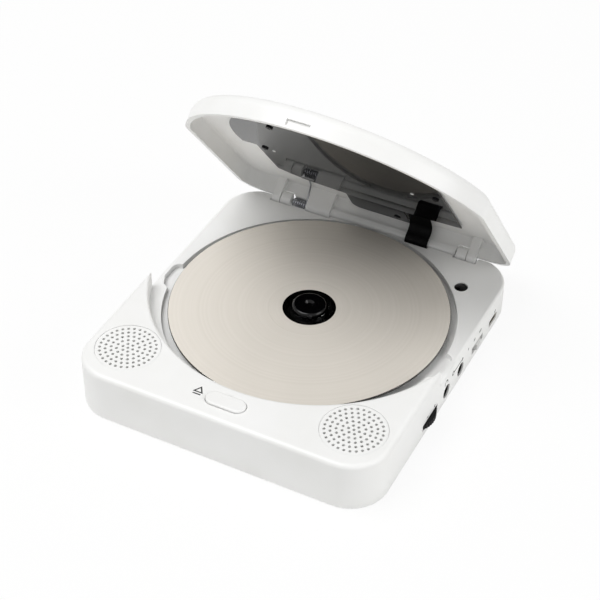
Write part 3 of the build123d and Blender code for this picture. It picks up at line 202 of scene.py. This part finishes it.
# flat flexible cable, laminated black polyester: smooth and dark, with the conductors just proud
ribbon = newMaterial("laminatedPolyesterBlack",
                     {"IOR": 1.57, "Base Color": hexColour("#010101"), "Specular IOR Level": 0.08}, [
                         {"size": 4, "rough": (0.6, 0.7)}, {"source": conductors, "depth": 0.03}])
# moulded nitrile rubber: dead matt with a bloom of paler dust
rubber = newMaterial("mouldedNitrileRubber", {"IOR": 1.52, "Specular IOR Level": 0.3}, [
    {"size": 1.2, "detail": 4.0, "colours": ("#18181A", "#2A2A2C"), "rough": (0.7, 0.9)}])
# pulp pressed on a felt: black paper with visible fibres
paper = newMaterial("pressedPaperCone", {"IOR": 1.5, "Specular IOR Level": 0.2}, [
    {"size": 0.5, "detail": 4.0, "stretch": (1.0, 0.3, 1.0), "colours": ("#060606", "#100F0E"),
     "rough": (0.8, 0.95), "depth": 0.03}])
# ceramic magnet, ground: dark grey with grinding lines
ferrite = newMaterial("sinteredFerrite", {"Metallic": 0.35}, [
    {"size": 0.5, "stretch": (1.0, 0.1, 1.0), "colours": ("#2C2C2F", "#45454A"), "rough": (0.4, 0.55)}])
# moulded glass lens with a blue-violet coating: clear, tinted in its gloss
glass = newMaterial("coatedOpticalGlass", {
    "IOR": 1.6, "Base Color": hexColour("#DDE4F4"), "Transmission Weight": 0.9, "Roughness": 0.02,
    "Coat Weight": 0.6, "Coat Tint": hexColour("#8FA0FF"), "Coat Roughness": 0.02}, [
        {"size": 2, "depth": 0.001}])
# black ink from a soft pad, on the deck and the side: thin, matt, a touch uneven
inkBlack = newMaterial("padPrintedInkBlack", {"IOR": 1.5, "Specular IOR Level": 0.3}, [
    {"size": 0.4, "detail": 3.0, "colours": ("#2E2E2E", "#3C3C3B"), "rough": (0.55, 0.7)}])

disc = {"y": 8.3, "hole": 7.5, "clear": 11.4, "printEnd": 59.75, "rim": 59.98, "groove": 17.0,
        "grooveDepth": 0.03, "edge": 0.2, "mirrorIn": 22.0, "mirrorRim": 1.4, "dark": "#DFD9CF",
        "light": "#E5DFD6", "steps": 256, "bottom": discBox[0][2], "top": discBox[1][2]}

# champagne ink screened over the aluminised side of a pressed disc: satin, a little metallic, with the
# faint rings that the squeegee leaves round the hub
discPrint = newMaterial("screenPrintedDiscFace", {"Metallic": 0.2, "IOR": 1.5}, [
    {"source": printedRings, "colours": (disc["dark"], disc["light"]), "depth": 0.001},
    {"size": 30, "rough": (0.42, 0.5)}])
# the pressed disc's bare plastic inside the print and at its rim: clear, glossy, with faint flow lines
discClear = newMaterial("pressedPolycarbonateClear", {
    "Base Color": hexColour("#F4F6F4"), "IOR": 1.585, "Transmission Weight": 1.0, "Roughness": 0.02}, [
        {"size": 6, "depth": 0.002}])
# the read side: a mirror of sputtered aluminium behind clear plastic, with the track's rainbow sheen
discMirror = newMaterial("aluminisedDiscBack", {
    "Metallic": 1.0, "Roughness": 0.12, "Coat Weight": 1.0, "Coat Roughness": 0.02}, [
        {"size": 18, "detail": 1.0, "colours": ("#BFC7D2", "#D2CBD0")}])
print("materials made")

cameraPlace = {"azimuth": 26.687, "elevation": 40.739, "distance": 0.68754, "roll": 0.486, "lens": 97.53,
               "sensor": 36.0, "target": (-0.00383, 0.007133, 0.021)}


def placeCamera(spec):
    # back = (sin a cos e, -cos a cos e, sin e); right = (cos a, sin a, 0); up = back x right; then right and
    # up are rolled about back
    a, e, r = (math.radians(spec[k]) for k in ("azimuth", "elevation", "roll"))
    back = Vector((math.sin(a) * math.cos(e), -math.cos(a) * math.cos(e), math.sin(e)))
    right = Vector((math.cos(a), math.sin(a), 0.0))
    up = back.cross(right)
    axes = (right * math.cos(r) + up * math.sin(r), up * math.cos(r) - right * math.sin(r), back)
    data = bpy.data.cameras.new("studioCamera")
    data.sensor_width = spec["sensor"]
    data.lens = spec["lens"]
    data.clip_start = 0.01
    data.clip_end = 20.0
    camera = bpy.data.objects.new("studioCamera", data)
    bpy.context.scene.collection.objects.link(camera)
    place = Matrix.Translation(Vector(spec["target"]) + back * spec["distance"])
    camera.matrix_world = place @ Matrix(axes).transposed().to_4x4()
    bpy.context.scene.camera = camera


placeCamera(cameraPlace)
bpy.context.scene.view_settings.view_transform = "Standard"
print("camera placed")

studio = {"skyStrength": 0.31, "floorHalf": 4.0, "floorColour": "#F6F6F5", "floorGlow": 0.9,
          "floorGloss": 0.25,
          "lamps": (("topLamp", (-0.55, -0.38, 1.45), 17.6, 1.0),
                    ("sideLamp", (1.4, -0.02, 0.62), 8.4, 0.8))}


def newGrid(name, points, material, closeU=False, closeV=False, smooth=True):
    # points[i, j] is a surface of two parameters; neighbours are joined by quads
    rows, columns = points.shape[:2]
    index = np.arange(rows * columns).reshape(rows, columns)
    if closeU:
        index = np.vstack([index, index[:1]])
    if closeV:
        index = np.hstack([index, index[:, :1]])
    quads = np.stack([index[:-1, :-1], index[:-1, 1:], index[1:, 1:], index[1:, :-1]], -1).reshape(-1, 4)
    return newMesh(name, points.reshape(-1, 3), quads, material, smooth)


def newMesh(name, points, faces, material, smooth=True):
    mesh = bpy.data.meshes.new(name)
    mesh.from_pydata(points.tolist(), [], [list(face) for face in faces])
    mesh.polygons.foreach_set("use_smooth", np.full(len(mesh.polygons), smooth))
    mesh.materials.append(material)
    mesh.update()
    piece = bpy.data.objects.new(name, mesh)
    bpy.context.scene.collection.objects.link(piece)
    return piece


def seenShare(tree, gloss):
    # 1 for what the camera sees directly or through clear plastic, gloss for what a shiny surface mirrors and
    # 0 for light on its way between surfaces
    path = addNode(tree, "ShaderNodeLightPath").outputs
    seen = addNode(tree, "ShaderNodeMath", {"operation": "MAXIMUM"},
                   links={0: path["Is Camera Ray"], 1: path["Is Transmission Ray"]}).outputs[0]
    return addNode(tree, "ShaderNodeMath", {"operation": "MULTIPLY_ADD", "use_clamp": True}, {1: gloss},
                   {0: path["Is Glossy Ray"], 2: seen}).outputs[0]


def buildWorld(spec):
    # the camera, mirrors and clear pieces see plain white; everything else is lit by a softer sky
    world = bpy.data.worlds.new("studioSky")
    bpy.context.scene.world = world
    world.use_nodes = True
    tree = world.node_tree
    tree.nodes.clear()
    sky = addNode(tree, "ShaderNodeBackground",
                  values={"Color": (1, 1, 1, 1), "Strength": spec["skyStrength"]})
    white = addNode(tree, "ShaderNodeBackground", values={"Color": (1, 1, 1, 1), "Strength": 1.0})
    mix = addNode(tree, "ShaderNodeMixShader",
                  links={0: seenShare(tree, 1.0), 1: sky.outputs[0], 2: white.outputs[0]})
    addNode(tree, "ShaderNodeOutputWorld", links={"Surface": mix.outputs[0]})


def buildFloor(spec):
    # z = 0 over a square; a share of plain white for the camera keeps it pale and leaves the soft shadow
    material = newMaterial("mattPaintedFloor", {
        "Base Color": hexColour(spec["floorColour"]), "Roughness": 0.9, "Specular IOR Level": 0.1})
    tree = material.node_tree
    paint, end = (next(n for n in tree.nodes if n.type == kind)
                  for kind in ("BSDF_PRINCIPLED", "OUTPUT_MATERIAL"))
    share = addNode(tree, "ShaderNodeMath", {"operation": "MULTIPLY"}, {1: spec["floorGlow"]},
                    {0: seenShare(tree, spec["floorGloss"])}).outputs[0]
    glow = addNode(tree, "ShaderNodeEmission", values={"Color": (1, 1, 1, 1), "Strength": 1.0})
    mix = addNode(tree, "ShaderNodeMixShader", links={0: share, 1: paint.outputs[0], 2: glow.outputs[0]})
    tree.links.new(mix.outputs[0], end.inputs["Surface"])
    reach = np.linspace(-spec["floorHalf"], spec["floorHalf"], 3)
    x, y = np.meshgrid(reach, reach)
    newGrid("studioFloor", np.stack([x, y, np.zeros_like(x)], -1), material, smooth=False)


def buildLamps(spec):
    for name, place, power, size in spec["lamps"]:
        data = bpy.data.lights.new(name, "AREA")
        data.size = size
        data.energy = power
        lamp = bpy.data.objects.new(name, data)
        bpy.context.scene.collection.objects.link(lamp)
        lamp.location = place
        lamp.rotation_mode = "QUATERNION"
        lamp.rotation_quaternion = (-Vector(place)).to_track_quat("-Z", "Y")


buildWorld(studio)
buildFloor(studio)
buildLamps(studio)
print("studio lit")

finishes = {
    absWhite: ("top_case", "bottom_case", "lid_shell", "open_button", "left_grille", "right_grille",
               "mode_switch_knob", "back_key", "play_key", "stop_key", "next_key"),
    acrylic: ("lid_panel",),
    pomPolished: ("turntable",),
    pomBlack: ("latch_slider", "pickup_sled", "volume_wheel", "headphone_jack", "line_out_jack"),
    nylonBlack: ("latch_guide", "mode_switch_body", "volume_pot", "ribbon_socket", "lid_sensor",
                 "left_speaker_basket", "right_speaker_basket"),
    zinc: ("case_screws", "spindle_motor", "feed_motor", "drive_chassis"),
    oxide: ("panel_screws",),
    springWire: ("lid_spring",),
    rodSteel: ("guide_rods", "spindle_shaft", "hinge_pins"),
    ballSteel: ("hub_balls",),
    nickel: ("usb_socket",),
    boardGreen: ("main_board", "key_board", "lid_board"),
    epoxy: ("board_chips",),
    rubber: ("chassis_dampers",),
    ferrite: ("left_speaker_magnet", "right_speaker_magnet"),
    glass: ("pickup_lens",),
}
for finish, names in finishes.items():
    for name in names:
        for slot in nodes[name].material_slots:
            slot.material = finish
print("materials given to", sum(len(names) for names in finishes.values()), "solids")


def facedOutward(mesh):
    # a closed mesh gets all its faces turned outward
    work = bmesh.new()
    work.from_mesh(mesh)
    bmesh.ops.remove_doubles(work, verts=work.verts, dist=1e-7)
    bmesh.ops.recalc_face_normals(work, faces=work.faces)
    work.to_mesh(mesh)
    work.free()


def lathe(name, profile, centre, steps, material, closed=False, zones=None):
    # point(i, t) = centre + (r_i cos t, r_i sin t, h_i) for profile rows (r, h), in mm
    r, h = np.asarray(profile, float).T
    turn = np.arange(steps) / steps * 2 * np.pi
    ring = np.stack([np.outer(r, np.cos(turn)), np.outer(r, np.sin(turn)),
                     np.repeat(h[:, None], steps, 1)], -1)
    piece = newGrid(name, (ring + np.asarray(centre, float)) * mm, material, closeU=closed, closeV=True)
    if zones:
        for zone in zones:
            if zone.name not in piece.data.materials:
                piece.data.materials.append(zone)
        slots = [piece.data.materials.find(zone.name) for zone in zones]
        piece.data.polygons.foreach_set("material_index", np.repeat(slots, steps))
    facedOutward(piece.data)
    return piece


def buildDisc(spec):
    # a closed profile: up the hole, out over the print with its groove, round the rim, back under the mirror
    hole, rim, low, high, groove = (spec[k] for k in ("hole", "rim", "bottom", "top", "groove"))
    cut, dip = spec["edge"], high - spec["grooveDepth"]
    profile = [(hole + cut, low), (hole, low + cut), (hole, high - cut), (hole + cut, high),
               (spec["clear"], high), (groove - 0.4, high), (groove - 0.15, high), (groove, dip),
               (groove + 0.3, dip), (groove + 0.45, high), (groove + 0.7, high), (30, high), (45, high),
               (spec["printEnd"], high), (rim - cut, high), (rim, high - cut), (rim, low + cut),
               (rim - cut, low), (rim - spec["mirrorRim"], low), (spec["mirrorIn"], low)]
    zones = [discClear] * 4 + [discPrint] * 9 + [discClear] * 5 + [discMirror] + [discClear]
    piece = lathe("compactDisc", profile, (0, spec["y"], 0), spec["steps"], discClear, closed=True,
                  zones=zones)
    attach(piece, "spindle")
    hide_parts("disc")


buildDisc(disc)
print("disc built")

window = {"radius": 2.9, "foot": 0.45, "tall": 1.6, "edge": 0.15, "steps": 64}


def buildSensorWindow(spec):
    # a closed profile (r, h): a plug in the deck's hole over the sensor, its upper edge broken by a chamfer
    box = np.array(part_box("lid_sensor")) / mm
    r, h, cut = (spec[k] for k in ("radius", "tall", "edge"))
    profile = [(0, 0), (r, 0), (r, h - cut), (r - cut, h), (0, h)]
    centre = ((box[0][0] + box[1][0]) / 2, (box[0][1] + box[1][1]) / 2, box[1][2] + spec["foot"])
    piece = lathe("sensorWindow", profile, centre, spec["steps"], pomPolished)
    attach(piece, "base")


buildSensorWindow(window)
print("sensor window built")

cone = {"cap": 3.0, "capLow": 0.95, "capRise": 0.55, "wallLow": 0.6, "wallTop": 1.95, "rollWidth": 2.2,
        "rollRise": 0.5, "flange": 0.5, "wallCurve": 0.8, "thick": 0.3, "steps": 96}


def buildCone(spec, label):
    # upper face over r: a cap cos(pi r / 2 cap), then the wall ((r - cap) / (fold - cap)) ** wallCurve, then a
    # half-round surround sin; the lower face lies one thickness below. Heights are from the cone's foot.
    box = np.array(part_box(label + "_speaker_cone")) / mm
    edge = (box[1][0] - box[0][0]) / 2
    fold = edge - spec["rollWidth"]
    capR = np.linspace(0, spec["cap"], 9)
    cap = spec["capLow"] + spec["capRise"] * np.cos(capR / spec["cap"] * np.pi / 2)
    wallR = np.linspace(spec["cap"], fold, 9)[1:]
    climb = ((wallR - spec["cap"]) / (fold - spec["cap"])) ** spec["wallCurve"]
    wall = spec["wallLow"] + (spec["wallTop"] - spec["wallLow"]) * climb
    rollEnd = edge - spec["flange"]
    rollR = np.linspace(fold, rollEnd, 13)[1:]
    roll = spec["wallTop"] + spec["rollRise"] * np.sin((rollR - fold) / (rollEnd - fold) * np.pi)
    r = np.concatenate([capR, wallR, rollR, [edge]])
    z = np.concatenate([cap, wall, roll, [spec["wallTop"]]])
    profile = np.concatenate([np.stack([r, z], 1), np.stack([r, z - spec["thick"]], 1)[::-1]])
    centre = ((box[0][0] + box[1][0]) / 2, (box[0][1] + box[1][1]) / 2, box[0][2])
    piece = lathe(label + "SpeakerCone", profile, centre, spec["steps"], paper)
    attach(piece, "base")
    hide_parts(label + "_speaker_cone")


for label in ("left", "right"):
    buildCone(cone, label)
print("speaker cones built")

screw = {"depth": 0.28, "pitch": 1.5, "plain": 2.4, "fade": 0.6, "step": 0.15, "around": 24}


def buildLeadScrew(spec):
    # r(t, y) = radius - cut depth (0.5 - 0.5 cos(2 pi y / pitch - t)), where cut is 0 over the plain length at
    # each end and climbs to 1 over the fade length
    box = np.array(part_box("lead_screw")) / mm
    x, z, radius = (box[0][0] + box[1][0]) / 2, (box[0][2] + box[1][2]) / 2, (box[1][0] - box[0][0]) / 2
    y = np.arange(box[0][1], box[1][1] + 1e-6, spec["step"])
    turn = np.arange(spec["around"]) / spec["around"] * 2 * np.pi
    fromEnd = np.minimum(y - y[0], y[-1] - y)
    cut = np.clip(fromEnd / spec["fade"] - spec["plain"] / spec["fade"], 0, 1)[:, None]
    r = radius - spec["depth"] * cut * (0.5 - 0.5 * np.cos(2 * np.pi * y[:, None] / spec["pitch"] - turn))
    grid = np.stack([x + r * np.cos(turn), np.repeat(y[:, None], len(turn), 1), z + r * np.sin(turn)], -1)
    ends = [np.broadcast_to(np.array([x, end, z]), (1, len(turn), 3)) for end in (y[0], y[-1])]
    piece = newGrid("threadedLeadScrew", np.concatenate([ends[0], grid, ends[1]]) * mm, rodSteel, closeV=True)
    facedOutward(piece.data)
    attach(piece, "feed_screw")
    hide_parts("lead_screw")


buildLeadScrew(screw)
print("lead screw built")


# (y, z) of knots from the board's socket over the hinge to the lid's board
flex = {"path": ((69.9, 11.5), (69.9, 16.0), (70.04, 17.54), (71.22, 18.74), (72.72, 19.56), (74.0, 20.7),
                 (74.82, 22.2), (74.83, 23.9), (74.3, 25.53), (73.24, 27.87), (71.56, 30.87), (69.59, 33.68)),
        "thick": 0.3, "stiff": 16.7, "free": 26.0, "steps": 5}


def smoothLine(knots, steps):
    # between knots b and c, with a before and d after them,
    # p(t) = (2 b + (c - a) t + (2 a - 5 b + 4 c - d) t^2 + (3 b - a - 3 c + d) t^3) / 2
    knots = np.asarray(knots, float)
    k = np.vstack([2 * knots[0] - knots[1], knots, 2 * knots[-1] - knots[-2]])
    t = (np.arange(steps) / steps)[None, :, None]
    a, b, c, d = (k[i:len(k) - 3 + i, None] for i in range(4))
    line = (2 * b + (c - a) * t + (2 * a - 5 * b + 4 * c - d) * t ** 2 + (3 * b - a - 3 * c + d) * t ** 3) / 2
    return np.vstack([line.reshape(-1, knots.shape[1]), knots[-1:]])


def buildFlex(spec):
    # a thin rectangle, as wide as the solid, carried along the line: corner = line -/+ thick / 2 times its
    # normal
    box = np.array(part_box("ribbon_cable")) / mm
    line = smoothLine(((spec["path"][0][0], box[0][2]),) + spec["path"], spec["steps"])
    along = np.gradient(line, axis=0)
    along /= np.linalg.norm(along, axis=1)[:, None]
    normal = np.stack([-along[:, 1], along[:, 0]], 1) * spec["thick"] / 2
    sides = ((box[0][0], -1), (box[1][0], -1), (box[1][0], 1), (box[0][0], 1))
    grid = np.stack([np.column_stack([np.full(len(line), x), line + k * normal]) for x, k in sides], 1)
    ends = [np.broadcast_to(grid[row].mean(0), (1, 4, 3)) for row in (0, -1)]
    piece = newGrid("flatRibbonCable", np.concatenate([ends[0], grid, ends[1]]) * mm, ribbon, closeV=True,
                    smooth=False)
    facedOutward(piece.data)
    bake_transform(piece)
    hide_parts("ribbon_cable")


buildFlex(flex)
print("ribbon cable built")

coil = {"turns": 4, "perTurn": 24, "around": 10, "buttonWire": 0.2, "latchWire": 0.15, "travel": 1.5}


def buildCoil(name, foot, top, across, radius, wire, spec):
    # point(t, s) = foot + (top - foot) t + (radius + wire cos s)(u cos a + v sin a) + wire w sin s, with
    # a = 2 pi turns t, w the unit axis, u across it and v = w x u. The coil's ends lie one wire radius in.
    foot, top, u = (np.asarray(p, float) for p in (foot, top, across))
    w = (top - foot) / np.linalg.norm(top - foot)
    t = np.linspace(0, 1, spec["turns"] * spec["perTurn"] + 1)[:, None, None]
    s = (np.arange(spec["around"]) / spec["around"] * 2 * np.pi)[None, :, None]
    out = np.cos(2 * np.pi * spec["turns"] * t) * u + np.sin(2 * np.pi * spec["turns"] * t) * np.cross(w, u)
    centre = foot + wire * w + (top - foot - 2 * wire * w) * t + radius * out
    grid = centre + wire * (np.cos(s) * out + np.sin(s) * w)
    ends = [np.broadcast_to(centre[row], (1, spec["around"], 3)) for row in (0, -1)]
    piece = newGrid(name, np.concatenate([ends[0], grid, ends[1]]) * mm, springWire, closeV=True)
    facedOutward(piece.data)
    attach(piece, "base")
    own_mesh(piece)
    return piece


def buildButtonCoils(spec):
    low, high = np.array(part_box("button_spring")) / mm
    x, y = (low[:2] + high[:2]) / 2
    piece = buildCoil("buttonCoil", (x, y, low[2]), (x, y, high[2]), (1, 0, 0),
                      (high[0] - low[0]) / 2 - spec["buttonWire"], spec["buttonWire"], spec)
    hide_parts("button_spring")
    low, high = np.array(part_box("latch_springs")) / mm
    outer, z = (high[2] - low[2]) / 2, (low[2] + high[2]) / 2
    for name, x in (("leftLatchCoil", low[0] + outer), ("rightLatchCoil", high[0] - outer)):
        piece = buildCoil(name, (x, low[1], z), (x, high[1], z), (1, 0, 0), outer - spec["latchWire"],
                          spec["latchWire"], spec)
        if x < 0:
            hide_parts("latch_springs")


buildButtonCoils(coil)
print("button springs built")


def strokeGrid(path, width, height, plane):
    # a flat strip along the path: its edges lie half the width either side, its middle is height proud
    path = np.asarray(path, float)
    closed = np.allclose(path[0], path[-1])
    step = np.diff(path, axis=0)
    step /= np.linalg.norm(step, axis=1)[:, None]
    before = np.vstack([step[-1:] if closed else step[:1], step])
    after = np.vstack([step, step[:1] if closed else step[-1:]])
    along = before + after
    along /= np.linalg.norm(along, axis=1)[:, None]
    across = np.stack([-along[:, 1], along[:, 0]], 1)
    across *= (width / 2 / np.maximum((along * before).sum(1), 0.4))[:, None]
    origin, u, v, n = (np.asarray(a, float) for a in plane)
    rows = [(path + k * across, h) for k, h in ((1, 0.3), (0, 1.0), (-1, 0.3))]
    return np.stack([origin + p[:, :1] * u + p[:, 1:] * v + h * height * n for p, h in rows], 1)


def buildStrokes(name, paths, spec, plane, material, body):
    # many strips on one face, joined into one mesh
    points, faces, start = [], [], 0
    for path in paths:
        grid = strokeGrid(path, spec["width"], spec["height"], plane)
        index = np.arange(grid.shape[0] * 3).reshape(-1, 3) + start
        quads = np.stack([index[:-1, :-1], index[1:, :-1], index[1:, 1:], index[:-1, 1:]], -1)
        faces.append(quads.reshape(-1, 4))
        points.append(grid.reshape(-1, 3))
        start += grid.shape[0] * 3
    piece = newMesh(name, np.concatenate(points) * mm, np.concatenate(faces), material)
    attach(piece, body)


def arc(x, y, r, start, end, count=13):
    # (x + r cos a, y + r sin a) for angles in degrees
    a = np.radians(np.linspace(start, end, count))
    return np.stack([x + r * np.cos(a), y + r * np.sin(a)], 1)


deckMark = {"x": -12.75, "half": 1.75, "base": -63.9, "tip": -61.1, "bar": -65.1, "width": 0.6,
            "height": 0.02}
deckPlane = ((0, 0, caseBox[1][2]), (1, 0, 0), (0, 1, 0), (0, 0, 1))
x, half, base = (deckMark[k] for k in ("x", "half", "base"))
buildStrokes("openMark", [[(x - half, base), (x + half, base), (x, deckMark["tip"]), (x - half, base)],
                          [(x - half, deckMark["bar"]), (x + half, deckMark["bar"])]],
             deckMark, deckPlane, inkBlack, "base")
ridge = {"half": 2.9, "base": -62.2, "tip": -60.0, "width": 0.4, "height": 0.12}
capPlane = ((0, 0, capBox[1][2]), (1, 0, 0), (0, 1, 0), (0, 0, 1))
buildStrokes("buttonRidge", [[(-ridge["half"], ridge["base"]), (ridge["half"], ridge["base"]),
                              (0, ridge["tip"]), (-ridge["half"], ridge["base"])]],
             ridge, capPlane, absWhite, "button")

# (y, z) of each mark on the right side: wheel, headphone and line sockets, mode switch, power
sideMark = {"wheel": (-17.3, 9.0), "phones": (-2.0, 12.0), "line": (10.0, 11.2), "mode": (28.0, 11.6),
            "power": (51.5, 9.2), "width": 0.5, "height": 0.02}
sidePlane = ((caseBox[1][0], 0, 0), (0, 1, 0), (0, 0, 1), (1, 0, 0))


def sideMarkPaths(spec):
    # minus and plus, a headphone band, an arrow out of a ring, one to three bars, a bolt
    (wy, wz), (py, pz), (ly, lz), (my, mz), (sy, sz) = (
        spec[k] for k in ("wheel", "phones", "line", "mode", "power"))
    paths = [[(wy - 4.4, wz), (wy - 2.8, wz)], [(wy + 2.8, wz), (wy + 4.4, wz)],
             [(wy + 3.6, wz - 0.8), (wy + 3.6, wz + 0.8)]]
    paths += [arc(py, pz - 0.3, 1.4, 0, 180), [(py - 1.4, pz - 0.3), (py - 1.4, pz - 1.0)],
              [(py + 1.4, pz - 0.3), (py + 1.4, pz - 1.0)]]
    paths += [arc(ly - 4.8, lz, 0.9, 0, 360), [(ly - 3.6, lz), (ly + 5.6, lz)],
              [(ly + 4.7, lz + 0.8), (ly + 5.6, lz), (ly + 4.7, lz - 0.8)]]
    for place, count in ((-6.6, 1), (0.0, 2), (6.4, 3)):
        for k in range(count):
            bar = my + place + 0.9 * (k - (count - 1) / 2)
            paths.append([(bar, mz - 0.7), (bar, mz + 0.7)])
    paths.append([(sy + 0.5, sz + 0.9), (sy - 0.6, sz - 0.1), (sy + 0.5, sz + 0.1), (sy - 0.4, sz - 0.9)])
    return paths


buildStrokes("sideMarks", sideMarkPaths(sideMark), sideMark, sidePlane, inkBlack, "base")
print("marks drawn")
